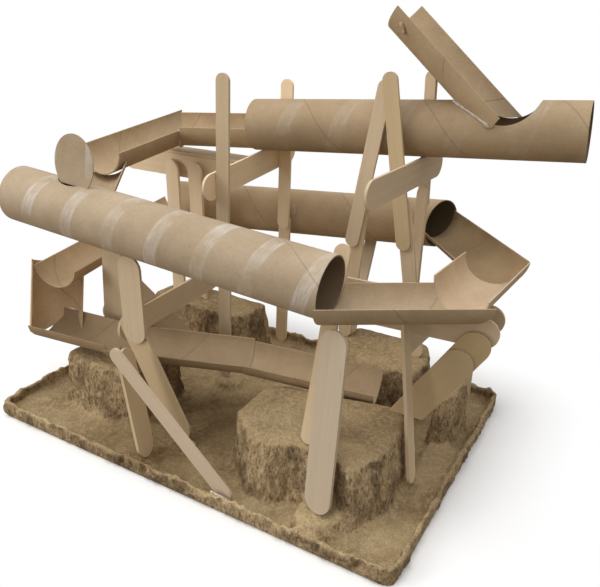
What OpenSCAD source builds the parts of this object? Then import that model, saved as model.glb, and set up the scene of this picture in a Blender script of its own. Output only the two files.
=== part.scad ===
// Marble run made of cardboard roll cores, troughs cut from the same cores and
// wooden craft sticks, glued on a moulded pulp packing tray.
// Millimetres, +Z up. The origin is the middle of the tray on the ground,
// +X runs along the long front edge and +Y points to the back.

/* [Cardboard] */
// outside diameter of a roll core
tube_d = 36; // [32:0.5:40]
// length of a whole roll core
tube_l = 224; // [200:1:240]
// thickness of the card
card = 0.8; // [0.6:0.1:1.2]
// depth of a trough cut a little below half
shallow = 15; // [12:0.5:17]

/* [Sticks] */
// length of a narrow stick
narrow_l = 114; // [108:1:120]
// width of a narrow stick
narrow_w = 10; // [9:0.5:11]
// thickness of a narrow stick
narrow_t = 2; // [1.6:0.1:2.4]
// length of a wide stick
wide_l = 118; // [112:1:124]
// width of a wide stick
wide_w = 18; // [16:0.5:20]
// thickness of a wide stick
wide_t = 1.8; // [1.5:0.1:2.2]
// film of glue between two glued pieces
glue = 0.2; // [0.1:0.05:0.3]

/* [Tray] */
// length of the tray along its front edge
tray_w = 300; // [280:1:320]
// depth of the tray from front to back
tray_d = 200; // [190:1:215]
// thickness of the pulp
pulp = 3; // [2.5:0.1:4]
// height of the rim
rim_h = 11; // [8:0.5:14]
// height of the tall blocks
block_h = 43; // [38:0.5:48]
// height of the left block
left_block_h = 43; // [38:0.5:48]
// how far a block spreads from its top to its foot
flare = 4; // [2:0.5:6]
// height of the low steps moulded beside the blocks
step_h = 8; // [5:0.5:11]

/* [Run] */
// height of the top tube's axis at its lower end
top_z = 189; // [180:1:200]
// climb of the top tube in degrees
top_rise = 3.8; // [1:0.1:6]
// height of the front tube's axis at its upper end
front_z = 154; // [146:1:162]
// fall of the front tube in degrees
front_fall = 5; // [2:0.1:8]
// height of the back tube's axis at its lower end
back_z = 110; // [102:1:118]
// climb of the back tube in degrees
back_rise = 2.2; // [1:0.1:5]
// fall of the lower troughs in degrees
lower_fall = 3.5; // [2:0.1:5]
// fall of the other troughs in degrees
trough_fall = 2; // [1:0.1:6]

/* [Hidden] */
$fn = 64;
r = tube_d / 2;
kraft = [0.68, 0.56, 0.40];
birch = [0.86, 0.74, 0.56];
grey_pulp = [0.52, 0.43, 0.31];

function dir(head, rise) = [cos(head) * cos(rise), sin(head) * cos(rise), sin(rise)];
function turned(v, a) = [v.x * cos(a) - v.y * sin(a), v.x * sin(a) + v.y * cos(a), v.z];

// top tube: axis point at distance s from its lower left end
top_head = 4.5;
top_left = [-44, 72, top_z];
function top_at(s) = top_left + s * dir(top_head, top_rise);
function top_side(x, side) = top_left.y + (x - top_left.x) * tan(top_head) + side * r / cos(top_head);

// feed chute comes down on the top tube
chute_top = [64, 85, top_z + 83];
chute_foot = [128, 84, top_z + 28];
chute_d = 40;
chute_deep = 17.5;
chute_roll = 0;

// front tube: axis point at distance s from its upper left end
front_head = 2.7;
front_left = [-138, -64, front_z];
function front_at(s) = front_left + s * dir(front_head, -front_fall);

// sticks that cross under the top tube on edge
left_cross_head = 90;
left_cross_rise = 4.5;
left_cross_mid = top_at(5.5) - [0, 0, r / cos(top_rise) + glue + wide_w / 2];
function left_cross_x(y) = left_cross_mid.x + (y - left_cross_mid.y) / tan(left_cross_head);
right_cross_head = 88;
right_cross_mid = top_at(126.8) - [0, 0, r / cos(top_rise) + glue + wide_w / 2];

// left post stands with its edge against the left cross stick
left_post_y = 12.5;
left_post_x = left_cross_x(left_post_y) + wide_t / 2 + glue + narrow_w / 2 + 0.4;
left_post_top = step_h + 2 * narrow_l - 6;
left_post_lean = 2.1;

// rear post stands behind the top tube and in front of the back tube
rear_post_x = -32.3;
rear_post_y = top_side(rear_post_x + narrow_w / 2, 1) + glue + narrow_t / 2;
rear_splice = narrow_t + glue;
rear_post_lean = 1.5;

// back tube: axis point at distance s from its lower left end
back_head = 10;
back_left_x = -141;
back_left_y = rear_post_y + rear_splice + narrow_t / 2 + glue + r / cos(back_head)
    + narrow_w / 2 * tan(back_head) - (rear_post_x - back_left_x) * tan(back_head);
back_left = [back_left_x, back_left_y, back_z];
function back_at(s) = back_left + s * dir(back_head, back_rise);
back_l = tube_l + 12;
back_mitre = back_at(tube_l + 2);
back_mitre_head = -17;

// prop from the back right block to the underside of the back tube
prop_foot = [41, 68, block_h + glue + narrow_w / 2 - 0.9];
prop_turn = 0.19;
prop_to = back_at((prop_foot.x - 14 - back_left_x) / cos(back_head) / cos(back_rise));
prop_far = norm([prop_to.y - prop_foot.y, prop_to.z - prop_foot.z]);
prop_lean = atan2(prop_to.z - prop_foot.z, prop_to.y - prop_foot.y)
    - asin((r / cos(back_head) + 6 * glue + narrow_t / 2) / prop_far);

// the three lower troughs meet in two bends, the middle one lies on the left block
middle_head = 25;
bend_2 = [4, -12.5];
bend_1 = bend_2 - [84, 84 * tan(middle_head)];
block_edge = 62;
middle_end_z = left_block_h + glue + r / cos(lower_fall) - block_edge * tan(lower_fall);
middle_l = 84 / cos(middle_head);
lower_head = 11;
lower_end = [bend_1.x, bend_1.y + 3, middle_end_z + middle_l * tan(lower_fall) + 1];
lower_l = 60;
end_head = 13;
end_start = [bend_2.x, bend_2.y, middle_end_z - 0.6];
end_l = 90;
function end_y(x) = end_start.y + (x - end_start.x) * tan(end_head);
function end_z(x) = end_start.z - (x - end_start.x) / cos(end_head) * tan(lower_fall);
lower_start = lower_end - lower_l * dir(lower_head, -lower_fall);
bend_1_head = 18;
bend_2_head = 19;
flat = 14;
middle_roll = 5;

// left trough runs from the back tube to the steep chute
left_head = 99.5;
left_near = [-126.5, -57, back_z - 5];
left_l = 172;

// steep chute stands in the lower trough around the end of the left trough
steep_mid = [-128, -58.5, lower_start.z - 4];
steep_face = 156;
steep_lean = 24;
steep_lean_head = 119;

// side trough
side_head = 93.4;
side_near = [-116, -15, top_z - 12];
side_l = 120;
side_rise = 4.6;
side_roll = 3;

// mitre between the upper trough and the side trough
upper_d = tube_d - 2 * card - 2 * glue;
upper_l = 110;
upper_roll = -11.5;
upper_mitre = [-113, 68];
upper_mitre_head = 37;

// right hand bend
front_end = front_at(tube_l);
long_head = 33;
long_start = front_end - [0, 0, 1.5];
long_l = 120;
mitre = [142, -13.6];
mitre_head = 67.5;
corner_head = 86;
corner_z = long_start.z;
corner_roll = 5;
right_head = 127.7;
right_near = [147, 43, corner_z - 1.2];
right_l = 140;
right_mitre = [146, 45];
right_mitre_head = 107;
right_fall = 2.7;
right_roll = -13;
right_deep = 14;

// bearers under the bend
bearer_x = 111;
bearer_head = 86;
bearer_z = corner_z - r - glue - wide_w - glue - wide_w / 2;
function bearer_at(y) = bearer_x + (y + 20) / tan(bearer_head);

// frame of narrow sticks in front of the top tube
frame_y = top_side(50, -1) - glue - narrow_t / 2;
frame_lap = narrow_t + glue;
frame_back_y = top_side(80, 1) + glue + narrow_t / 2 + 2.4;
front_post_y = -62;
front_step_h = step_h + 6;

// side frame over the back left block
short_y = 65;
side_rail_y = short_y + wide_t + glue;
side_rail_z = top_z - 38;
short_l = side_rail_z + wide_w / 2 - block_h - 4;
short_turn = -18;

module place(p, head = 0, rise = 0, roll = 0) {
    translate(p)
        rotate([0, 0, head])
            rotate([0, -rise, 0])
                rotate([roll, 0, 0])
                    children();
}

// whole core along +X
module core(l, d = tube_d, wall = card) {
    rotate([0, 90, 0])
        difference() {
            cylinder(h = l, d = d);
            translate([0, 0, -1])
                cylinder(h = l + 2, d = d - 2 * wall);
        }
}

// solid rod along +X for coping one piece round another
module rod(l, d) {
    rotate([0, 90, 0])
        cylinder(h = l, d = d);
}

// trough along +X, open upwards
module trough(l, deep = r, d = tube_d) {
    difference() {
        core(l, d);
        translate([-1, -d, deep - d / 2])
            cube([l + 2, 2 * d, d]);
    }
}

module stick_outline(l, w, square_foot = false) {
    translate([-w / 2, square_foot ? 0 : w / 2])
        square([w, l - (square_foot ? w / 2 : w)]);
    translate([0, l - w / 2])
        circle(d = w);
    if (!square_foot)
        translate([0, w / 2])
            circle(d = w);
}

// stick standing along +Z with its face to the front
module upright(l, w, t, square_foot = false) {
    rotate([90, 0, 0])
        translate([0, 0, -t / 2])
            linear_extrude(height = t)
                stick_outline(l, w, square_foot);
}

// stick along +X, on edge
module on_edge(l, w, t) {
    rotate([0, 90, 0])
        upright(l, w, t);
}

// everything in front of the plane x = 0, for cutting an end
module beyond() {
    translate([0, -100, -200])
        cube([200, 200, 400]);
}

// stick from the middle of its round foot towards a point it leans at
module leaning(foot, aim, face, l, w, t) {
    v = turned(aim - foot, -face);
    translate(foot)
        rotate([0, 0, face])
            rotate([asin(-v.y / norm(v)), atan2(v.x, v.z), 0])
                translate([0, 0, -w / 2])
                    upright(l, w, t);
}

// post leaning sideways about the height of the cross sticks, foot at height z
module place_post(x, y, lean, z) {
    translate([x, y, left_cross_mid.z])
        rotate([0, lean, 0])
            translate([0, 0, z - left_cross_mid.z])
                children();
}

module narrow_leaning(foot, aim, face = 0, l = narrow_l) {
    leaning(foot, aim, face, l, narrow_w, narrow_t);
}

module wide_leaning(foot, aim, face = 0, l = wide_l) {
    leaning(foot, aim, face, l, wide_w, wide_t);
}

// plan shapes of the moulded blocks at their top
left_block = [[-118, -64], [-88, -67], [-58, -64], [-52, -40], [-56, -16], [-112, -12]];
back_left_block = [[-138, 50], [-96, 47], [-58, 46], [-46, 50], [-40, 80], [-134, 84]];
// back edge of the front block, where the end trough lies on it
function seat(x) = sqrt(pow(r + glue, 2) - pow(end_z(x) - block_h, 2)) / cos(end_head);
front_block = [[27, -60], [50, -79], [62, -80], [74, -71], [102, -71], [109, -79], [114, -74],
               [118, -64], [122, -54], [122, -30], [116, end_y(116) - seat(116)], [40, end_y(40) - seat(40)],
               [27, end_y(27) - seat(27) - 4]];
back_right_block = [[34, 42], [60, 31], [104, 36], [107, 60], [98, 84], [40, 84]];
right_step = [[126, -24], [146, -30], [146, 22], [126, 22]];
right_block = [[126, 14], [134, 20], [139, 48], [126, 54]];

// block with sloping sides, rounded corners and a softened top edge
module mound(points, h, inset) {
    c = [for (k = [0, 1]) (max([for (p = points) p[k]]) + min([for (p = points) p[k]])) / 2];
    s = [for (k = [0, 1]) max([for (p = points) p[k]]) - min([for (p = points) p[k]])];
    translate([c.x, c.y, h])
        rotate([180, 0, 0])
            linear_extrude(height = h, scale = [1 + 2 * flare / s.x, 1 + 2 * flare / s.y], slices = 1)
                mirror([0, 1])
                    translate([-c.x, -c.y])
                        offset(r = 4, $fn = 16)
                            offset(delta = -4 - inset)
                                polygon(points);
}

module mounds(wall) {
    for (b = [back_left_block, front_block, back_right_block, right_block])
        mound(b, block_h - wall, wall);
    mound(left_block, left_block_h - wall, wall);
}

module plate(w, d, c, h) {
    linear_extrude(height = h) {
        square([w - 2 * c, d], center = true);
        square([w, d - 2 * c], center = true);
        for (x = [-1, 1], y = [-1, 1])
            translate([x * (w / 2 - c), y * (d / 2 - c)])
                circle(r = c);
    }
}

// one moulded shell, hollow under the blocks
module pulp_tray() {
    color(grey_pulp)
        difference() {
            union() {
                difference() {
                    plate(tray_w, tray_d, 8, rim_h);
                    translate([0, 0, pulp])
                        plate(tray_w - 2 * pulp, tray_d - 2 * pulp, 5, rim_h);
                }
                mounds(0);
                translate([left_post_x, left_post_y + 2, 0])
                    cylinder(h = step_h, d1 = 26, d2 = 20);
                translate([97, -82, 0])
                    cylinder(h = front_step_h, d1 = 34, d2 = 24);
                mound(right_step, step_h, 0);
            }
            translate([0, 0, -0.01])
                mounds(pulp);
        }
}

// cut in the top of the top tube that takes the feed chute
module saddle(less) {
    translate([tube_l - 48, 0, r + 9])
        rotate([90, 0, 0])
            cylinder(h = tube_d + 2, d = 44 - 2 * less, center = true);
}

module top_tube() {
    color(kraft)
        place(top_left, top_head, top_rise)
            difference() {
                core(tube_l);
                saddle(0);
            }
}

module feed_chute() {
    color(kraft)
        difference() {
            place(chute_top, atan2(chute_foot.y - chute_top.y, chute_foot.x - chute_top.x),
                  -atan2(chute_top.z - chute_foot.z, chute_foot.x - chute_top.x), chute_roll)
                trough(norm(chute_foot - chute_top) + 30, chute_deep, chute_d);
            place([133, 84, top_z + 18.6], -11, -38)
                beyond();
            place(top_left, top_head, top_rise)
                difference() {
                    rod(tube_l, tube_d + 2 * glue);
                    saddle(2 * glue);
                }
        }
}

// pushed into the end of the top tube, its other end mitred
module upper_trough() {
    color(kraft)
        difference() {
            place(top_at(10), 180 + top_head, -top_rise, upper_roll)
                trough(upper_l, upper_d / 2 + 2.5, upper_d);
            place(upper_mitre, upper_mitre_head + 180)
                beyond();
        }
}

module side_trough() {
    color(kraft)
        difference() {
            place(side_near, side_head, side_rise, side_roll)
                trough(side_l);
            place(upper_mitre, upper_mitre_head)
                translate([-glue, 0, 0])
                    beyond();
        }
}

module drop_chute() {
    color(kraft)
        difference() {
            place(side_near + [0, 2, -4], -64, -24)
                trough(44, shallow);
            place(front_left, front_head, -front_fall)
                rod(tube_l, tube_d + 2 * glue);
            place(side_near, side_head, side_rise)
                translate([-glue, 0, 0])
                    rod(side_l, tube_d + 2 * glue);
        }
}

module tongue() {
    place(front_at(50), front_head, -front_fall)
        difference() {
            rotate([-4, 0, 0])
                translate([0, -4, r - 4])
                    rotate([90, 0, 0])
                        linear_extrude(height = card)
                            translate([0, 16])
                                scale([0.85, 1])
                                    circle(r = 18);
            rotate([0, 90, 0])
                cylinder(h = 80, r = r - card / 2, center = true);
        }
}

module front_tube() {
    color(kraft) {
        difference() {
            place(front_left, front_head, -front_fall)
                core(tube_l);
            place(front_at(46), front_head, -front_fall)
                translate([0, 9, r])
                    cylinder(h = 24, d = 30, center = true);
        }
        tongue();
    }
}

module long_trough() {
    color(kraft)
        difference() {
            place(long_start - 20 * dir(long_head, 0), long_head)
                trough(long_l, shallow);
            place(front_end, front_head + 180, front_fall)
                translate([-glue, 0, 0])
                    beyond();
            place(mitre, mitre_head)
                translate([-glue, 0, 0])
                    beyond();
        }
}

module corner_trough() {
    color(kraft)
        difference() {
            place([mitre.x, mitre.y, corner_z] - 30 * dir(corner_head, 0), corner_head, 0, corner_roll)
                trough(110);
            place(mitre, mitre_head + 180)
                beyond();
            place(right_mitre, right_mitre_head)
                translate([-glue, 0, 0])
                    beyond();
        }
}

module right_trough() {
    color(kraft)
        difference() {
            place(right_near - 25 * dir(right_head, -right_fall), right_head, -right_fall, right_roll)
                trough(right_l + 25, right_deep);
            place(right_mitre, right_mitre_head + 180)
                beyond();
            place(back_mitre, back_mitre_head + 180)
                translate([-glue, 0, 0])
                    beyond();
        }
}

// its right end mitred to meet the right trough
module back_tube() {
    color(kraft)
        difference() {
            place(back_left, back_head, back_rise)
                core(back_l);
            place(back_mitre, back_mitre_head)
                beyond();
        }
}

module left_trough() {
    color(kraft)
        difference() {
            place(left_near, left_head, trough_fall)
                trough(left_l, flat);
            place(back_left, back_head, back_rise)
                rod(tube_l, tube_d + 2 * glue);
        }
}

module steep_chute() {
    color(kraft)
        difference() {
            translate(steep_mid)
                rotate(a = steep_lean, v = [-sin(steep_lean_head), cos(steep_lean_head), 0])
                    rotate([0, 0, steep_face])
                        rotate([0, -90, 0])
                            translate([-25, 0, 0])
                                trough(66);
            place(left_near, left_head, trough_fall)
                translate([-glue, 0, 0])
                    rod(left_l, tube_d + 2 * glue);
            place(lower_start, lower_head, -lower_fall)
                difference() {
                    translate([-20, -tube_d, -tube_d])
                        cube([lower_l, 2 * tube_d, tube_d + flat - r]);
                    translate([-21, 0, 0])
                        rod(lower_l + 2, tube_d - 2 * card - 2 * glue);
                }
        }
}

module lower_trough() {
    color(kraft)
        difference() {
            place(lower_start, lower_head, -lower_fall)
                trough(lower_l + 30, flat);
            place(bend_1, bend_1_head)
                translate([-glue, 0, 0])
                    beyond();
        }
}

module middle_trough() {
    color(kraft)
        difference() {
            place([bend_2.x, bend_2.y, middle_end_z] - 120 * dir(middle_head, -lower_fall),
                  middle_head, -lower_fall, middle_roll)
                trough(150, flat);
            place(bend_1, bend_1_head + 180)
                beyond();
            place(bend_2, bend_2_head)
                translate([-glue, 0, 0])
                    beyond();
        }
}

module end_trough() {
    color(kraft)
        difference() {
            place(end_start - 20 * dir(end_head, -lower_fall), end_head, -lower_fall)
                trough(end_l + 20, flat);
            place(bend_2, bend_2_head + 180)
                beyond();
        }
}

module left_post_upper() {
    color(birch)
        place_post(left_post_x, left_post_y, left_post_lean, left_post_top - narrow_l)
            upright(narrow_l, narrow_w, narrow_t);
}

module left_post_lower() {
    color(birch)
        place_post(left_post_x, left_post_y + narrow_t + glue, left_post_lean, step_h + glue)
            upright(narrow_l, narrow_w, narrow_t);
}

module rear_post_upper() {
    color(birch)
        place_post(rear_post_x, rear_post_y, rear_post_lean, pulp + narrow_l - 11)
            upright(narrow_l, narrow_w, narrow_t);
}

module rear_post_lower() {
    color(birch)
        place_post(rear_post_x, rear_post_y + rear_splice, rear_post_lean, pulp + glue)
            upright(narrow_l, narrow_w, narrow_t);
}

module left_cross_stick() {
    color(birch)
        place(left_cross_mid, left_cross_head, left_cross_rise)
            translate([-74, 0, 0])
                on_edge(wide_l, wide_w, wide_t);
}

module right_cross_stick() {
    color(birch)
        place(right_cross_mid, right_cross_head)
            translate([-86, 0, 0])
                on_edge(wide_l, wide_w, wide_t);
}

module side_rail() {
    color(birch)
        translate([-56 - wide_l, side_rail_y, side_rail_z])
            on_edge(wide_l, wide_w, wide_t);
}

module side_shelf() {
    color(birch)
        translate([-138, side_rail_y + 8.4, side_rail_z + wide_w / 2 + glue + wide_t / 2])
            rotate([90, 0, 0])
                on_edge(88, wide_w, wide_t);
}

module short_post_left() {
    color(birch)
        translate([-119, short_y - 2.6, block_h + glue])
            rotate([0, 0, short_turn])
                upright(short_l, wide_w, wide_t, true);
}

module short_post_right() {
    color(birch)
        translate([-96, short_y - 2.6, block_h + glue])
            rotate([0, 0, short_turn])
                upright(short_l, wide_w, wide_t, true);
}

module leaning_post() {
    color(birch)
        wide_leaning([-110, -23, left_block_h + glue + wide_w / 2], [-83, -41, 147], 0, 102);
}

module block_rail() {
    color(birch)
        translate([-128, -16, left_block_h + glue + wide_w / 2])
            on_edge(42, wide_w, wide_t);
}

module low_cross_stick() {
    color(birch)
        place([-68, -59, 69.5], 92.7)
            on_edge(wide_l, wide_w, wide_t);
}

module floor_brace() {
    color(birch)
        wide_leaning([-74, 28, pulp + glue + wide_w / 2], [-72, -40, 93], 92.7);
}

module front_tube_post() {
    color(birch)
        translate([-50, front_post_y, 68])
            upright(front_at(88).z - r / cos(front_fall) - glue - 68, wide_w, wide_t);
}

module inner_brace() {
    color(birch)
        wide_leaning([-20, front_post_y + wide_t + glue, pulp + glue + wide_w / 2],
                     [-43, front_post_y + wide_t + glue, 56], 0, 92);
}

module rim_post() {
    color(birch)
        wide_leaning([-28, -84.5, pulp + glue + wide_w / 2], [-46, -77.5, 78], 104, 72);
}

module front_brace() {
    color(birch)
        narrow_leaning([41, -93, pulp + glue + narrow_w / 2], [-43, -89, 77]);
}

module front_post() {
    color(birch)
        wide_leaning([97, -83, front_step_h + glue + wide_w / 2], [93, -62, 118], -12, 104);
}

module front_tube_prop() {
    color(birch)
        narrow_leaning([81.5, -66, block_h + glue + narrow_w / 2], [77, -23, 150]);
}

module frame_left_upper() {
    color(birch)
        narrow_leaning([42.6, frame_y, 120.5], [60.8, frame_y, 228]);
}

module frame_left_lower() {
    color(birch)
        narrow_leaning([39.4, frame_y + frame_lap, block_h + glue + narrow_w / 2],
                       [43.8, frame_y + frame_lap, 100]);
}

module frame_right_upper() {
    color(birch)
        narrow_leaning([81.1, frame_y - frame_lap, 125.5], [63, frame_y - frame_lap, 233]);
}

module frame_right_lower() {
    color(birch)
        narrow_leaning([96, frame_y, block_h + glue + narrow_w / 2], [86, frame_y, 106]);
}

module frame_back_upper() {
    color(birch)
        narrow_leaning([76.5, frame_back_y, 144], [74, frame_back_y, 230], -27, 92);
}

module frame_back_lower() {
    color(birch)
        narrow_leaning([84, 76, block_h + glue + narrow_w / 2],
                       [77, frame_back_y - frame_lap - 2, 157], -27);
}

module back_tube_prop() {
    color(birch)
        narrow_leaning(prop_foot, prop_foot + 60 * [-prop_turn, cos(prop_lean), sin(prop_lean)], 0, 102);
}

module right_post() {
    color(birch)
        narrow_leaning([129.5, -26, step_h + glue + narrow_w / 2], [113.7, -15, 105], 90, 110);
}

module bearer_stick() {
    color(birch)
        place([bearer_at(-9), -9, bearer_z], bearer_head)
            on_edge(wide_l, wide_w, wide_t);
}

module bearer_front() {
    color(birch)
        place([164, -4, bearer_z + wide_w + glue], 184)
            on_edge(wide_l, wide_w, wide_t);
}

module bearer_rear() {
    color(birch)
        place([162, 15, bearer_z + wide_w + glue], 184)
            on_edge(wide_l, wide_w, wide_t);
}

// brace from the front block to the bearers, its foot cut level
module brace(y, l) {
    difference() {
        wide_leaning([114, y, block_h - 6], [154, y + 1.3, 101], 2, l);
        translate([50, -50, 0])
            cube([100, 100, block_h + glue]);
    }
}

module block_brace() {
    color(birch)
        brace(-9.3, 90);
}

module block_brace_cover() {
    color(birch)
        brace(-9.3 - wide_t - glue, 76);
}

module right_trough_post() {
    color(birch)
        narrow_leaning([131, 67, pulp + glue + narrow_w / 2], [131, 67, 100], 20, 109);
}

pulp_tray();
top_tube();
feed_chute();
upper_trough();
side_trough();
drop_chute();
front_tube();
long_trough();
corner_trough();
right_trough();
back_tube();
left_trough();
steep_chute();
lower_trough();
middle_trough();
end_trough();
left_post_upper();
left_post_lower();
rear_post_upper();
rear_post_lower();
left_cross_stick();
side_rail();
side_shelf();
short_post_left();
short_post_right();
leaning_post();
block_rail();
low_cross_stick();
floor_brace();
front_tube_post();
inner_brace();
rim_post();
front_brace();
front_post();
front_tube_prop();
frame_left_upper();
frame_left_lower();
frame_right_upper();
frame_right_lower();
frame_back_upper();
frame_back_lower();
right_cross_stick();
back_tube_prop();
right_post();
bearer_stick();
bearer_front();
bearer_rear();
block_brace();
block_brace_cover();
right_trough_post();
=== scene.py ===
# %% [markdown]
# A marble run made at home: cardboard roll cores, troughs cut from the same cores, wooden craft
# sticks and hot glue, all standing on a moulded pulp packing tray.
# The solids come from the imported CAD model. This file gives every piece its finish, roughens
# the pulp, adds the glue and sets up the light and the camera.

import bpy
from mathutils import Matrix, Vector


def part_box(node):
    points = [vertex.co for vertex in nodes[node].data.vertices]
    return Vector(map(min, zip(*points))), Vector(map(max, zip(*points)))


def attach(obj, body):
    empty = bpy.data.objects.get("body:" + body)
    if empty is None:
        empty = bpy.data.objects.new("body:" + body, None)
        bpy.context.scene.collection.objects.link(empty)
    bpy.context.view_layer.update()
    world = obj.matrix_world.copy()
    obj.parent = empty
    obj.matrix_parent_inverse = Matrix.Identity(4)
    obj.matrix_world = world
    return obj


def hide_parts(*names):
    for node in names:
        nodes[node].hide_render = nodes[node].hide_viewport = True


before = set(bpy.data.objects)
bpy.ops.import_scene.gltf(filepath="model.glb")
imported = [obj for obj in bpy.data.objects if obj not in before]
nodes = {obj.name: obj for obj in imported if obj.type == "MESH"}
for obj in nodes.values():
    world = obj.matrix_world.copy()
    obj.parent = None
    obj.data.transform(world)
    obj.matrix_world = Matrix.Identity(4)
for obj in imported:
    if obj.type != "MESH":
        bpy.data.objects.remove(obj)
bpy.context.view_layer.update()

# %% Tools
import math
import random

import bmesh
import bpy
import numpy as np
from mathutils import Euler, Matrix, Vector, noise

random.seed(7)
MM = 0.001
scene = bpy.context.scene
print("scene:", scene.name)

# %% [markdown]
# The photograph was taken from the front right corner, a little above the top tube. A camera can
# be aimed at a target, but a hand-held picture is also tilted a little. So the camera was
# solved from the tray's corners and the stick lengths, and its place, its three turns and its
# lens are plain numbers here. A turn about Z looks round, a turn about X looks down, and the last
# small turn about the camera's own axis is the tilt of the hand that held it.

# %% Camera
camera_data = bpy.data.cameras.new("camera")
camera_data.sensor_width = 36
camera_data.lens = 39.25
camera = bpy.data.objects.new("camera", camera_data)
look_round = Matrix.Rotation(math.radians(29.81), 4, "Z")
look_down = Matrix.Rotation(math.radians(90 - 23.78), 4, "X")
tilt = Matrix.Rotation(math.radians(1.05), 4, "Z")
camera.matrix_world = Matrix.Translation((0.2269, -0.3335, 0.2692)) @ look_round @ look_down @ tilt
scene.collection.objects.link(camera)
scene.camera = camera
print("camera at", tuple(round(v, 3) for v in camera.location))

# %% [markdown]
# Every finish is a node tree. Nodes can be added and wired one by one, which takes many lines.
# One small helper adds a node, sets its options and fills or links its sockets, so the recipes
# below read like a list of steps.


# %% Add a node, start a finish
def add(tree, kind, sockets=None, **options):
    made = tree.nodes.new(kind)
    for key, value in options.items():
        setattr(made, key, value)
    for key, value in (sockets or {}).items():
        if isinstance(value, bpy.types.NodeSocket):
            tree.links.new(value, made.inputs[key])
        else:
            made.inputs[key].default_value = value
    return made


def new_finish(name):
    finish = bpy.data.materials.new(name)
    finish.use_nodes = True
    tree = finish.node_tree
    shader = tree.nodes["Principled BSDF"]
    return finish, tree, shader


print("node helpers ready")


# %% Sums, ramps and blends
def calc(tree, operation, a, b=0.0, c=0.0):
    return add(tree, "ShaderNodeMath", {0: a, 1: b, 2: c}, operation=operation).outputs[0]


def reach_of(tree, a, b):
    return calc(tree, "SQRT", calc(tree, "MULTIPLY_ADD", a, a, calc(tree, "MULTIPLY", b, b)))


def ramp(tree, value, low, high):
    return add(tree, "ShaderNodeMapRange", {0: value, 1: low, 2: high}, clamp=True).outputs[0]


def blend_colour(tree, amount, a, b, kind="MIX"):
    mix = add(tree, "ShaderNodeMix", {0: amount}, data_type="RGBA", blend_type=kind)
    for socket, value in ((6, a), (7, b)):
        if isinstance(value, bpy.types.NodeSocket):
            tree.links.new(value, mix.inputs[socket])
        else:
            mix.inputs[socket].default_value = (*value, 1)
    return mix.outputs[2]


def tinted(tree, colour, mask, share, tint, kind="MIX"):
    return blend_colour(tree, calc(tree, "MULTIPLY", mask, share), colour, tint, kind)


print("sums and blends ready")


# %% Places, noise and the last step of a finish
def object_place(tree):
    return add(tree, "ShaderNodeTexCoord").outputs["Object"]


def local_place(tree, origin, turn):
    mapping = add(tree, "ShaderNodeMapping", {"Vector": object_place(tree)}, vector_type="TEXTURE")
    mapping.inputs["Location"].default_value = origin
    mapping.inputs["Rotation"].default_value = turn
    return mapping.outputs[0]


def stretched_noise(tree, place, stretch, detail=3.0, rough=0.55):
    mapped = add(tree, "ShaderNodeMapping", {"Vector": place, "Scale": stretch}).outputs[0]
    return add(tree, "ShaderNodeTexNoise",
               {"Vector": mapped, "Scale": 1.0, "Detail": detail, "Roughness": rough}).outputs[0]


def close_finish(tree, shader, colour, roughness, shine, relief, strength, depth):
    tree.links.new(colour, shader.inputs["Base Color"])
    shader.inputs["Roughness"].default_value = roughness
    shader.inputs["Specular IOR Level"].default_value = shine
    bump = add(tree, "ShaderNodeBump", {"Height": relief, "Strength": strength, "Distance": depth})
    tree.links.new(bump.outputs[0], shader.inputs["Normal"])


def dress(piece, finish):
    piece.data.materials.clear()
    piece.data.materials.append(finish)


print("noise and places ready")

# %% [markdown]
# Roll cores are wound from kraft board in a spiral, so a thin dark seam climbs round each core and
# the board's fibres follow it. A flat pattern could be wrapped round with a UV map, but the CAD
# meshes have none, so the pattern is worked out in the core's own frame: a Mapping node
# carries the point back to the core's axis, an arc tangent gives the angle round it, and adding a
# share of the angle to the length along it turns rings into a spiral. Rounding the number of
# turns tells how far a point lies from the nearest winding.
# Two cores also show pale scuffed bands, in a second winding that climbs the other way.

# %% Windings
CORE_R = 0.018
CORE_PITCH = 0.084


def off_winding(tree, wound, pitch, phase=0.0):
    turns = calc(tree, "DIVIDE", calc(tree, "SUBTRACT", wound, phase), pitch)
    return calc(tree, "ABSOLUTE", calc(tree, "SUBTRACT", turns, calc(tree, "ROUND", turns)))


def scuffed_bands(tree, colour, place, along, angle, pitch, wear):
    wound = calc(tree, "MULTIPLY_ADD", angle, -pitch / math.tau, along)
    off_band = off_winding(tree, wound, pitch)
    band = ramp(tree, off_band, 0.150, 0.115)
    edge = ramp(tree, off_band, 0.045, 0.110)
    round_it = calc(tree, "MULTIPLY", angle, CORE_R)
    band_place = add(tree, "ShaderNodeCombineXYZ", {0: wound, 1: round_it, 2: 0.0}).outputs[0]
    lines = ramp(tree, stretched_noise(tree, band_place, (1500, 110, 1), 3.0), 0.40, 0.62)
    patchy = ramp(tree, stretched_noise(tree, place, (40, 70, 70), 3.0), 0.34, 0.60)
    worn = calc(tree, "MULTIPLY_ADD", lines, 0.30, calc(tree, "MULTIPLY_ADD", edge, 0.08, 0.10))
    worn = calc(tree, "MULTIPLY", worn, wear)
    scuff = calc(tree, "MULTIPLY", calc(tree, "MULTIPLY", band, worn), patchy)
    return blend_colour(tree, scuff, colour, (0.80, 0.80, 0.80))


print("core radius", CORE_R, "pitch of the seam", CORE_PITCH)
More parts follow.
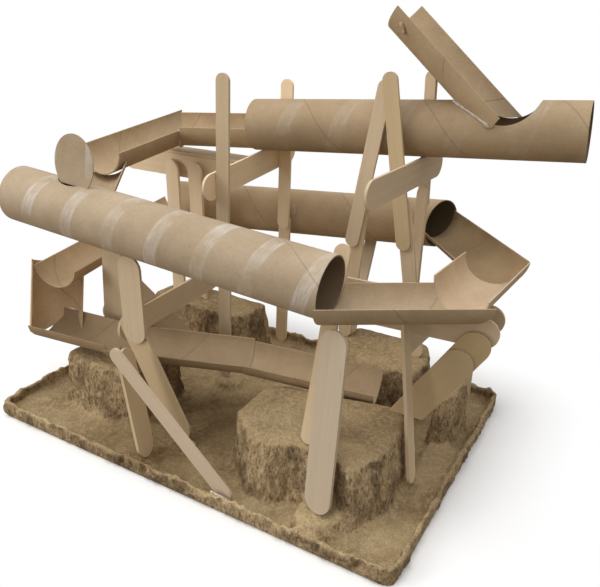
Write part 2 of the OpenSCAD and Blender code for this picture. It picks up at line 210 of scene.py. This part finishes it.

# %% [markdown]
# Board is not one colour: soft clouds, pale fibres along the winding and dark specks lie over one
# another, and the seam comes last. One noise could go through a long colour ramp, but then all
# the marks would have one size, so each kind of mark has a noise and a blend of its own.
# Some pieces are greyer than others, so each has its own share of grey. Each also has its own tone,
# partly the board's own colour and partly painted light and shade: pieces left in too much shade
# are made paler and some well lit ones deeper. The inside of a whole core's bore gets painted
# shade: points that lie nearer to the axis than the wall are darkened.


# %% Kraft board
def kraft_board(name, start, heading, rise, pitch=CORE_PITCH, phase=0.0, seam_from=-1.0,
                band_pitch=0.0, band_worn=1.0, grey=0.0, tone_and_painted_light=1.0, bore_shade=1.0):
    finish, tree, shader = new_finish(name)
    turn = Euler((0, math.radians(-rise), math.radians(heading)))
    place = local_place(tree, Vector(start) * MM, turn)
    along, side, up = add(tree, "ShaderNodeSeparateXYZ", {0: place}).outputs
    angle = calc(tree, "ARCTAN2", side, up)
    wound = calc(tree, "MULTIPLY_ADD", angle, pitch / math.tau, along)

    waver = stretched_noise(tree, place, (90, 90, 90), 2.0)
    off_seam = off_winding(tree, wound, pitch, phase)
    seam_edge = calc(tree, "MULTIPLY_ADD", waver, 0.9 * MM / pitch, off_seam)
    seam = ramp(tree, seam_edge, 1.2 * MM / pitch, 0.6 * MM / pitch)
    seam = calc(tree, "MULTIPLY", seam, ramp(tree, along, seam_from, seam_from + 10 * MM))

    fibre_place = add(tree, "ShaderNodeCombineXYZ",
                      {0: wound, 1: calc(tree, "MULTIPLY", angle, CORE_R), 2: up}).outputs[0]
    fibre = stretched_noise(tree, fibre_place, (1500, 260, 500), 4.0, 0.6)
    speck = stretched_noise(tree, place, (1250, 1250, 1250), 3.0, 0.65)
    cloud = stretched_noise(tree, place, (38, 38, 38), 4.0, 0.6)

    # The tone is partly the board's own colour and partly painted light and shade.
    tint = [tone_and_painted_light * (1.0 + share * grey) for share in (0.06, 0.13, 0.28)]
    pale = [t * v for t, v in zip(tint, (0.500, 0.370, 0.230))]
    dark = [t * v for t, v in zip(tint, (0.400, 0.285, 0.168))]
    straw = [tone_and_painted_light * v for v in (0.58, 0.46, 0.31)]
    speck_brown, seam_brown = (0.20, 0.13, 0.07), (0.12, 0.075, 0.04)
    colour = blend_colour(tree, ramp(tree, cloud, 0.32, 0.68), dark, pale)
    colour = tinted(tree, colour, ramp(tree, fibre, 0.35, 0.7), 0.22, straw)
    colour = tinted(tree, colour, ramp(tree, speck, 0.52, 0.70), 0.26, speck_brown)
    if band_pitch:
        colour = scuffed_bands(tree, colour, place, along, angle, band_pitch, band_worn)
    colour = tinted(tree, colour, seam, 0.30, seam_brown)
    # Painted shade: the inside of the bore is darkened.
    if bore_shade < 1:
        bore_shade_mask = ramp(tree, reach_of(tree, side, up), CORE_R - 0.3 * MM, CORE_R - 0.6 * MM)
        colour = blend_colour(tree, bore_shade_mask, colour, (bore_shade, 0.93 * bore_shade, 0.85 * bore_shade), "MULTIPLY")

    relief = calc(tree, "SUBTRACT", calc(tree, "MULTIPLY_ADD", speck, 0.4, fibre), seam)
    close_finish(tree, shader, colour, 0.88, 0.22, relief, 0.35, 0.4 * MM)
    return finish


print("kraft board ready")

# %% [markdown]
# On the real thing the winding follows each core, so one finish for all would run straight on
# through the bends. Each core or trough gets its own axis instead: a start point, a heading round
# Z and a rise. They follow the axes of the solids, rounded, in millimetres and degrees. Pitches
# and phases of the windings are in metres. A phase slides a seam along its core. The cores that
# show their seam have one that fits it, and the rest are stepped so that no two look alike.

# %% Dress the cardboard pieces
card_axes = {
    "top_tube": ((-44, 72, 189), 4.5, 3.8),
    "front_tube": ((-138, -64, 154), 2.7, -5),
    "back_tube": ((-141, 96, 110), 10, 2.2),
    "feed_chute": ((64, 85, 272), -0.9, -40.7),
    "upper_trough": ((-34, 73, 190), 184.5, -3.8),
    "side_trough": ((-116, -15, 177), 93.4, 4.6),
    "drop_chute": ((-116, -13, 173), -64, -24),
    "long_trough": ((85, -53.5, 133), 33, 0),
    "corner_trough": ((142, -13.6, 133), 86, 0),
    "right_trough": ((147, 43, 132), 127.7, -2.7),
    "left_trough": ((-126.5, -57, 105), 99.5, 2),
    "steep_chute": ((-128, -58.5, 64), 119, 66),
    "lower_trough": ((-139, -60, 68), 11, -3.5),
    "middle_trough": ((-80, -51.7, 63), 25, -3.5),
    "end_trough": ((4, -12.5, 57), 13, -3.5),
}
# A bore share below one darkens the inside of that core with painted shade.
windings = {
    "top_tube": {"phase": 0.038, "band_pitch": 0.040, "band_worn": 0.28, "bore_shade": 0.45},
    "front_tube": {"pitch": 0.15, "phase": 0.196, "seam_from": 0.12, "band_pitch": 0.032,
                   "bore_shade": 0.5},
    "back_tube": {"phase": 0.062, "bore_shade": 0.22},
    "feed_chute": {"phase": 0.02},
}
# Tone of each piece: partly the board's own colour, partly painted light and shade that makes
# pieces in deep shade paler and some well lit ones deeper.
board_tones_and_painted_light = {"top_tube": 0.84, "front_tube": 0.92, "back_tube": 1.06, "right_trough": 0.78,
          "corner_trough": 1.22, "left_trough": 1.16, "steep_chute": 1.55, "lower_trough": 0.88,
          "middle_trough": 0.86, "end_trough": 0.90}
greyness = {"front_tube": 1.0, "long_trough": 0.5, "corner_trough": 0.6, "feed_chute": 0.2,
            "right_trough": -0.7}
phase_step = 0.013
for order, (name, (start, heading, rise)) in enumerate(card_axes.items()):
    winding = windings.get(name, {"phase": phase_step * order % CORE_PITCH})
    finish = kraft_board("kraft_" + name, start, heading, rise, grey=greyness.get(name, 0.0),
                         tone_and_painted_light=board_tones_and_painted_light.get(name, 1.0), **winding)
    dress(nodes[name], finish)
print("cardboard pieces:", len(card_axes))

# %% [markdown]
# Craft sticks are sliced from birch. The grain runs along the stick, with long soft streaks, fine
# pores and a few darker flecks, and each stick comes from another part of the log, so each has its
# own stretch of grain. Each stick's tone is partly the wood's own colour and partly painted light
# and shade, paler for sticks left in too much shade and deeper for some in full light. One wood
# finish for all would run the same grain across sticks that lean every way. So the stick's frame
# is found from its own mesh: the longest spread of its points is the grain direction, the
# shortest is its thickness.


# %% Birch
def birch(name, centre, axes, tone_and_painted_light, warmth):
    finish, tree, shader = new_finish(name)
    place = local_place(tree, centre, axes.to_euler())
    shift = tuple(random.uniform(-3, 3) for _ in range(3))
    place = add(tree, "ShaderNodeVectorMath", {0: place, 1: shift}, operation="ADD").outputs[0]
    streak = stretched_noise(tree, place, (9, 330, 120), 4.0, 0.6)
    broad = stretched_noise(tree, place, (5, 95, 40), 2.0)
    pore = stretched_noise(tree, place, (110, 2300, 900), 2.0, 0.5)
    fleck = stretched_noise(tree, place, (60, 420, 200), 1.0)
    # The tone is partly the wood's own colour and partly painted light and shade.
    pale = (0.68 * tone_and_painted_light, (0.545 - 0.02 * warmth) * tone_and_painted_light, (0.380 - 0.06 * warmth) * tone_and_painted_light)
    dark = (0.635 * tone_and_painted_light, (0.498 - 0.02 * warmth) * tone_and_painted_light, (0.335 - 0.055 * warmth) * tone_and_painted_light)
    pore_brown, fleck_brown = (0.26, 0.16, 0.08), (0.24, 0.14, 0.07)
    colour = blend_colour(tree, ramp(tree, streak, 0.30, 0.66), dark, pale)
    colour = tinted(tree, colour, ramp(tree, broad, 0.45, 0.70), 0.35, dark)
    colour = tinted(tree, colour, ramp(tree, pore, 0.60, 0.72), 0.09, pore_brown)
    colour = tinted(tree, colour, ramp(tree, fleck, 0.74, 0.80), 0.25, fleck_brown)
    relief = calc(tree, "SUBTRACT", streak, calc(tree, "MULTIPLY", pore, 0.6))
    close_finish(tree, shader, colour, 0.68, 0.3, relief, 0.22, 0.3 * MM)
    return finish


def stick_frame(piece):
    points = np.array([v.co for v in piece.data.vertices])
    middle = (points.min(0) + points.max(0)) / 2
    _, directions = np.linalg.eigh(np.cov((points - points.mean(0)).T))
    long_way, wide_way = directions[:, 2], directions[:, 1]
    thin_way = np.cross(long_way, wide_way)
    return Vector(middle), Matrix(np.array([long_way, wide_way, thin_way]).T.tolist())


print("birch ready")

# %% Dress the sticks
warm_sticks = {"frame_right_upper": 1.0, "frame_left_lower": 0.5, "rim_post": 0.8,
               "inner_brace": 0.8, "front_tube_prop": 0.7, "front_brace": -0.4,
               "front_post": -0.5, "block_brace": 1.4, "block_brace_cover": 1.1}
# Tone of each stick: partly the wood's own colour, partly painted light and shade that makes sticks
# in deep shade paler and some well lit ones deeper.
stick_tones_and_painted_light = {"front_post": 0.78, "front_brace": 0.92, "rim_post": 0.98, "inner_brace": 0.90,
         "block_brace": 0.80, "block_brace_cover": 0.84, "left_post_upper": 0.90,
         "left_cross_stick": 1.32, "rear_post_upper": 1.33, "rear_post_lower": 1.22,
         "frame_right_upper": 0.88, "frame_back_upper": 1.08, "frame_back_lower": 1.08,
         "side_rail": 1.15, "side_shelf": 1.15, "short_post_left": 1.10, "short_post_right": 1.10}
stick_names = [n for n in nodes if n not in card_axes and n != "pulp_tray"]
for name in sorted(stick_names):
    centre, axes = stick_frame(nodes[name])
    # A listed tone is partly painted light and shade; a random one is the wood's own colour.
    tone_and_painted_light = stick_tones_and_painted_light.get(name, random.uniform(0.92, 1.02))
    warmth = warm_sticks.get(name, random.uniform(0, 0.35))
    dress(nodes[name], birch("birch_" + name, centre, axes, tone_and_painted_light, warmth))
print("sticks:", len(stick_names))

# %% [markdown]
# The tray is moulded from paper pulp. Its tops and floor took the smooth side of the mould. Its
# flanks dried into coarse lumps that run downwards, with damp patches. Light and shade are also
# painted in: shade in the crevices of the flanks, light on the flanks and, a little less, on the
# tops and floor, and a dark patch on one stretch of the floor that is partly a stain and partly
# painted shadow under the troughs and blocks. Masks for these could be painted, but the finish
# can tell flank from top by the upright share of the surface normal, and the patch by its
# distance from one point.


# %% Pulp finish
def moulded_pulp():
    finish, tree, shader = new_finish("moulded_pulp")
    place = object_place(tree)
    cloud = stretched_noise(tree, place, (26, 26, 26), 4.0, 0.6)
    lump = stretched_noise(tree, place, (330, 330, 190), 4.0, 0.62)
    fibre = stretched_noise(tree, place, (950, 950, 620), 4.0, 0.68)
    crevice_shade_noise = stretched_noise(tree, place, (760, 760, 260), 4.0, 0.65)
    damp = stretched_noise(tree, place, (70, 70, 38), 3.0)
    facing = add(tree, "ShaderNodeNewGeometry").outputs["Normal"]
    upright = calc(tree, "ABSOLUTE", add(tree, "ShaderNodeSeparateXYZ", {0: facing}).outputs[2])
    steep = ramp(tree, upright, 0.75, 0.30)
    level = calc(tree, "SUBTRACT", 1.0, steep)

    brown, buff, straw = (0.245, 0.174, 0.098), (0.440, 0.340, 0.204), (0.48, 0.388, 0.248)
    # The second colour here is painted shade for the crevices of the flanks.
    fibre_brown, crevice_painted_shade = (0.13, 0.092, 0.055), (0.075, 0.052, 0.032)
    # These two paint light: onto the flanks, and a little less onto the tops and floor.
    flank_painted_light, level_painted_light = (1.58, 1.53, 1.47), (1.60, 1.55, 1.42)
    # The second colour here darkens a floor patch that is partly a stain and partly painted shadow.
    damp_shade, stain_and_shadow_colour = (0.52, 0.50, 0.50), (0.56, 0.52, 0.46)
    colour = blend_colour(tree, ramp(tree, cloud, 0.34, 0.66), brown, buff)
    colour = tinted(tree, colour, ramp(tree, lump, 0.44, 0.64), 0.62, straw)
    colour = tinted(tree, colour, ramp(tree, fibre, 0.50, 0.68), 0.55, fibre_brown)
    # Painted shade in the crevices, mostly on the flanks.
    crevice_shade_share = calc(tree, "MULTIPLY_ADD", steep, 0.62, 0.10)
    colour = tinted(tree, colour, ramp(tree, crevice_shade_noise, 0.48, 0.64), crevice_shade_share, crevice_painted_shade)
    # Painted light: the flanks are made paler.
    colour = blend_colour(tree, steep, colour, flank_painted_light, "MULTIPLY")
    damp_flank = calc(tree, "MULTIPLY", ramp(tree, damp, 0.44, 0.60), steep)
    colour = tinted(tree, colour, damp_flank, 0.90, damp_shade, "MULTIPLY")
    # Painted light: the tops and floor are made paler, a little less than the flanks.
    colour = tinted(tree, colour, level, 0.80, level_painted_light, "MULTIPLY")

    # A dark floor patch, partly a stain and partly painted shadow under the troughs and blocks.
    stain_and_shadow_middle = Vector((-16, -50, 4)) * MM
    from_stain_and_shadow = add(tree, "ShaderNodeVectorMath", {0: place, 1: stain_and_shadow_middle},
                     operation="DISTANCE")
    ragged = calc(tree, "MULTIPLY_ADD", cloud, 50 * MM, from_stain_and_shadow.outputs["Value"])
    stain_and_shadow = ramp(tree, ragged, 105 * MM, 50 * MM)
    colour = tinted(tree, colour, stain_and_shadow, 0.8, stain_and_shadow_colour, "MULTIPLY")

    relief = calc(tree, "MULTIPLY_ADD", fibre, 0.8, lump)
    close_finish(tree, shader, colour, 0.95, 0.15, relief, 0.9, 2.2 * MM)
    return finish


pulp = moulded_pulp()
print("finish:", pulp.name)

# %% [markdown]
# Pulp also has a rough shape: a bump alone would leave its edges and its rim straight. A copy of
# the solid is merged, turned into an even skin of small faces by a voxel remesh, softened, and
# then pushed out and in along its normals by noise. Its blocks are softened more than its rim.

# %% Even skin of small faces
tray = bpy.data.objects.new("tray_pulp", nodes["pulp_tray"].data.copy())
scene.collection.objects.link(tray)
skin = bmesh.new()
skin.from_mesh(tray.data)
bmesh.ops.remove_doubles(skin, verts=skin.verts, dist=0.01 * MM)
skin.to_mesh(tray.data)
skin.free()
remesh = tray.modifiers.new("even", "REMESH")
remesh.mode = "VOXEL"
remesh.voxel_size = 1.6 * MM
even = bpy.data.meshes.new_from_object(tray.evaluated_get(bpy.context.evaluated_depsgraph_get()))
tray.modifiers.clear()
tray.data = even
print("skin faces:", len(even.polygons))


# %% Soften
def soften(shape, verts, times):
    for _ in range(times):
        bmesh.ops.smooth_vert(shape, verts=verts, factor=0.5,
                              use_axis_x=True, use_axis_y=True, use_axis_z=True)


tray_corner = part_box("pulp_tray")[1]
half_w, half_d = round(tray_corner.x, 4), round(tray_corner.y, 4)
rim_zone = 8 * MM
skin = bmesh.new()
skin.from_mesh(tray.data)
soften(skin, skin.verts, 2)
inner = [v for v in skin.verts
         if abs(v.co.x) < half_w - rim_zone and abs(v.co.y) < half_d - rim_zone]
soften(skin, inner, 9)
skin.normal_update()
print("points softened again:", len(inner))

# %% [markdown]
# The flanks are rougher than the tops. A Displace modifier would push them all alike, so a short
# loop does it, point by point. The noise is stretched in height, so its lumps become downward
# strokes, and where it dips it is pushed in a second time, which cuts the grooves.
# The rim is also lifted and lowered, as torn pulp is. The underside stays flat.


# %% Roughen
def rough(point, scale, squash=1.0):
    return noise.fractal(Vector((point.x, point.y, point.z * squash)) * scale, 0.9, 2.1, 3)


rim_w, rim_low, base_top = 4 * MM, 6 * MM, 2 * MM
strokes, swells, torn, waves, crumbs = 270, 55, 140, 85, 300
stroke_stretch = 0.32
moves = []
for v in skin.verts:
    flank = 1 - min(1, abs(v.normal.z) * 1.25)
    stroke = rough(v.co, strokes, stroke_stretch)
    groove = 1.2 * flank * max(0, -stroke - 0.10)
    push = (0.20 + 1.35 * flank) * stroke - groove + 0.40 * rough(v.co, swells)
    lift = 0.0
    at_rim = abs(v.co.x) > half_w - rim_w or abs(v.co.y) > half_d - rim_w
    if at_rim and v.co.z > rim_low:
        push += 0.7 * rough(v.co, torn)
        lift = 2.2 * rough(v.co, waves) + 1.1 * rough(v.co, crumbs)
    moves.append((v, v.normal * push * MM + Vector((0, 0, lift * MM))))
for v, move in moves:
    if v.co.z > base_top:
        v.co += move
    v.co.z = max(v.co.z, 0)
skin.to_mesh(tray.data)
skin.free()
print("points moved:", len(moves))

# %% Dress the tray
dress(tray, pulp)
for face in tray.data.polygons:
    face.use_smooth = True
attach(tray, "root")
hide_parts("pulp_tray")
print("tray triangles about", 2 * len(tray.data.polygons))

# %% [markdown]
# Hot glue holds it all together. It shows as milky beads along a few joints. A curve with a round
# bevel would make an even cord, but a squeezed bead swells and thins. So a circle is set
# round each point of a row, wide in the middle and thin at the ends, neighbouring circles are
# bridged, the ends are filled, and a little noise makes it lumpy.


# %% Glue finish
def hot_glue():
    finish, tree, shader = new_finish("hot_glue")
    milky = stretched_noise(tree, object_place(tree), (420, 420, 420), 3.0)
    amber, milk = (0.42, 0.36, 0.28), (0.62, 0.58, 0.54)
    colour = blend_colour(tree, ramp(tree, milky, 0.35, 0.65), amber, milk)
    close_finish(tree, shader, colour, 0.28, 0.5, milky, 0.3, 0.5 * MM)
    return finish


glue = hot_glue()
print("finish:", glue.name)


# %% A bead along a row of points
def bead(name, points, radius, finish):
    path = [Vector(p) * MM for p in points]
    last = len(path) - 1
    shape = bmesh.new()
    rings = []
    for k, centre in enumerate(path):
        way = (path[min(k + 1, last)] - path[max(k - 1, 0)]).normalized()
        swell = 0.45 + 0.55 * math.sqrt(math.sin(math.pi * k / last))
        wide = radius * MM * swell * random.uniform(0.75, 1.25)
        stand = Matrix.Translation(centre) @ way.to_track_quat("Z", "Y").to_matrix().to_4x4()
        circle = bmesh.ops.create_circle(shape, segments=10, radius=wide, matrix=stand)
        rings.append(list(dict.fromkeys(e for v in circle["verts"] for e in v.link_edges)))
    for low, high in zip(rings, rings[1:]):
        bmesh.ops.bridge_loops(shape, edges=low + high)
    bmesh.ops.holes_fill(shape, edges=rings[0] + rings[-1], sides=0)
    bmesh.ops.subdivide_edges(shape, edges=shape.edges, cuts=1, use_grid_fill=True, smooth=1.0)
    bmesh.ops.recalc_face_normals(shape, faces=shape.faces)
    shape.normal_update()
    for v in shape.verts:
        v.co += v.normal * noise.noise(v.co * 700) * 0.3 * radius * MM
    data = bpy.data.meshes.new(name)
    shape.to_mesh(data)
    shape.free()
    for face in data.polygons:
        face.use_smooth = True
    data.materials.append(finish)
    piece = bpy.data.objects.new(name, data)
    scene.collection.objects.link(piece)
    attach(piece, "root")
    print(name, "faces:", len(data.polygons))


def between(first, last, count):
    return [Vector(first).lerp(Vector(last), k / (count - 1)) for k in range(count)]


print("bead maker ready")

# %% [markdown]
# The longest bead lies where the feed chute meets the top tube. Two round walls meet in a curve
# that no single circle gives. Its points are found by walking down the chute's wall, a tenth of a
# millimetre at a time, until the top tube's surface is reached.

# %% Joint of the feed chute and the top tube
tube_start, tube_heading, tube_rise = card_axes["top_tube"]
tube_start = Vector(tube_start)
tube_turn = math.radians(tube_heading)
tube_slope = math.tan(math.radians(tube_rise))
tube_way = Vector((math.cos(tube_turn), math.sin(tube_turn), tube_slope)).normalized()
chute_start, chute_foot = Vector(card_axes["feed_chute"][0]), Vector((128, 84, 217))
chute_way = (chute_foot - chute_start).normalized()
chute_up = Vector((0.652, 0, 0.758))
chute_r, tube_r = 20.3, 18.6
stride = 0.1
joint = []
for degrees in range(14, 86, 3):
    turn = math.radians(degrees)
    wall = -chute_r * math.cos(turn) * chute_up - Vector((0, chute_r * math.sin(turn), 0))
    for step in range(1000):
        spot = chute_start + chute_way * (stride * step) + wall
        from_axis = spot - tube_start
        if (from_axis - tube_way * from_axis.dot(tube_way)).length < tube_r:
            joint.append(spot)
            break
print("glue points on the feed chute:", len(joint))
bead("glue_feed_chute", joint, 0.9, glue)

# %% [markdown]
# The other beads are short: along the mitre of the upper and side troughs, at the feet of two
# braces and beside the rear post. They are nearly straight, so two ends and a count of points are
# enough. The last one isn't glue. It is a curl of torn card at the mouth of the feed chute, made
# the same way and dressed with the chute's own board.

# %% Other beads
mitre = [(-102, 53.3, 182.5), (-103, 54.7, 178), (-104.8, 57.1, 173.6), (-107.6, 60.8, 170.2),
         (-111.7, 66.3, 167.7)]
bead("glue_mitre", mitre, 1.2, glue)
bead("glue_front_brace", between((34, -97.4, 10.6), (50, -97.2, 8.2), 9), 0.8, glue)
bead("glue_rear_post", between((-26.6, 97.2, 125), (-26.4, 97.4, 116), 6), 0.9, glue)
bead("glue_inner_brace", between((-17, -61.5, 4.2), (-6, -61.3, 4.0), 7), 1.6, glue)
torn_board = nodes["feed_chute"].data.materials[0]
bead("torn_ply", between((64.4, 66.6, 261), (67.2, 66.4, 254), 6), 1.3, torn_board)

# %% [markdown]
# A plain pale floor and a soft studio, much like a light tent. A bright floor would be white in the
# picture but would also light the undersides of the tubes, which are dark in the photograph. So the
# floor asks which kind of ray sees it: to the camera it is white, with the soft shadow close to
# the tray, and a few centimetres away it becomes the white backdrop. To light that bounces it is
# a dim warm brown.


# %% Floor
def shown_white(tree):
    rays = add(tree, "ShaderNodeLightPath").outputs
    mirrored = calc(tree, "MAXIMUM", rays["Is Glossy Ray"], rays["Is Transmission Ray"])
    return calc(tree, "MAXIMUM", rays["Is Camera Ray"], mirrored)


def past_edge(tree, distance, half):
    beyond = calc(tree, "SUBTRACT", calc(tree, "ABSOLUTE", distance), half)
    return calc(tree, "MAXIMUM", beyond, 0.0)


def white_floor():
    finish, tree, shader = new_finish("floor_white")
    seen = shown_white(tree)
    dim_brown, white = (0.18, 0.145, 0.10), (1.0, 1.0, 1.0)
    colour = blend_colour(tree, seen, dim_brown, white)
    tree.links.new(colour, shader.inputs["Base Color"])
    shader.inputs["Roughness"].default_value = 0.9
    shader.inputs["Specular IOR Level"].default_value = 0.0
    across, deep, _ = add(tree, "ShaderNodeSeparateXYZ", {0: object_place(tree)}).outputs
    from_tray = reach_of(tree, past_edge(tree, across, half_w), past_edge(tree, deep, half_d))
    fade = calc(tree, "MULTIPLY", ramp(tree, from_tray, 0.0, 60 * MM), seen)
    backdrop = add(tree, "ShaderNodeEmission", {"Color": (1, 1, 1, 1), "Strength": 1.0})
    shown = add(tree, "ShaderNodeMixShader",
                {0: fade, 1: shader.outputs[0], 2: backdrop.outputs[0]})
    tree.links.new(shown.outputs[0], tree.nodes["Material Output"].inputs["Surface"])
    return finish


floor_mesh = bmesh.new()
bmesh.ops.create_grid(floor_mesh, x_segments=1, y_segments=1, size=4)
floor_data = bpy.data.meshes.new("floor")
floor_mesh.to_mesh(floor_data)
floor_mesh.free()
floor_data.materials.append(white_floor())
floor = bpy.data.objects.new("floor", floor_data)
scene.collection.objects.link(floor)
print("floor ready")

# %% [markdown]
# A soft sky does most of the lighting. A picture of a studio could be wrapped round the scene, but
# a few nodes that read the direction of the ray are easier to tune. The sky is brighter on the
# left and overhead than on the right and near the ground, where it is also warmer, because light
# there has bounced off a table. The camera sees plain white instead.

# %% Sky
world = bpy.data.worlds.new("studio")
scene.world = world
world.use_nodes = True
tree = world.node_tree
tree.nodes.clear()
towards = add(tree, "ShaderNodeTexCoord").outputs["Generated"]
height = add(tree, "ShaderNodeSeparateXYZ", {0: towards}).outputs[2]
bright_way = (-0.75, -0.45, 0.49)
lit_side = add(tree, "ShaderNodeVectorMath", {0: towards, 1: bright_way},
               operation="DOT_PRODUCT").outputs["Value"]
glow = add(tree, "ShaderNodeMapRange", {0: lit_side, 1: -1.0, 2: 1.0, 3: 0.57, 4: 0.83}).outputs[0]
overhead = calc(tree, "MULTIPLY_ADD", ramp(tree, height, 0.0, 0.8), 0.48, 0.68)
warm = blend_colour(tree, ramp(tree, height, 0.0, 0.7), (1, 0.93, 0.83), (1, 1, 1))
strength = calc(tree, "MULTIPLY", glow, overhead)
soft = add(tree, "ShaderNodeBackground", {"Color": warm, "Strength": strength})
white = add(tree, "ShaderNodeBackground", {"Color": (1, 1, 1, 1), "Strength": 1.0})
mixed = add(tree, "ShaderNodeMixShader",
            {0: shown_white(tree), 1: soft.outputs[0], 2: white.outputs[0]})
add(tree, "ShaderNodeOutputWorld", {0: mixed.outputs[0]})
print("sky nodes:", len(tree.nodes))

# %% [markdown]
# Lamps give the light a direction. A sun lamp would throw hard shadows. An area lamp is softer, and
# the larger it is, the softer. One hangs above, one stands to the left, and a low weak one in
# front reaches in under the tubes.


# %% Lamps
def lamp(name, place, aim, size, power, colour):
    data = bpy.data.lights.new(name, "AREA")
    data.size = size
    data.energy = power
    data.color = colour
    made = bpy.data.objects.new(name, data)
    made.location = place
    made.rotation_euler = (Vector(aim) - Vector(place)).to_track_quat("-Z", "Y").to_euler()
    scene.collection.objects.link(made)
    print(name, power, "W")


lamp("lamp_above", (0.0, -0.1, 1.2), (0, 0, 0.1), 0.6, 4.3, (1, 1, 1))
lamp("lamp_left", (-0.9, -0.7, 0.8), (0, 0, 0.1), 0.5, 3.4, (1, 1, 1))
lamp("lamp_low", (-0.55, -0.80, 0.25), (-0.04, 0.05, 0.14), 0.3, 1.7, (1, 0.97, 0.92))
scene.view_settings.view_transform = "Standard"
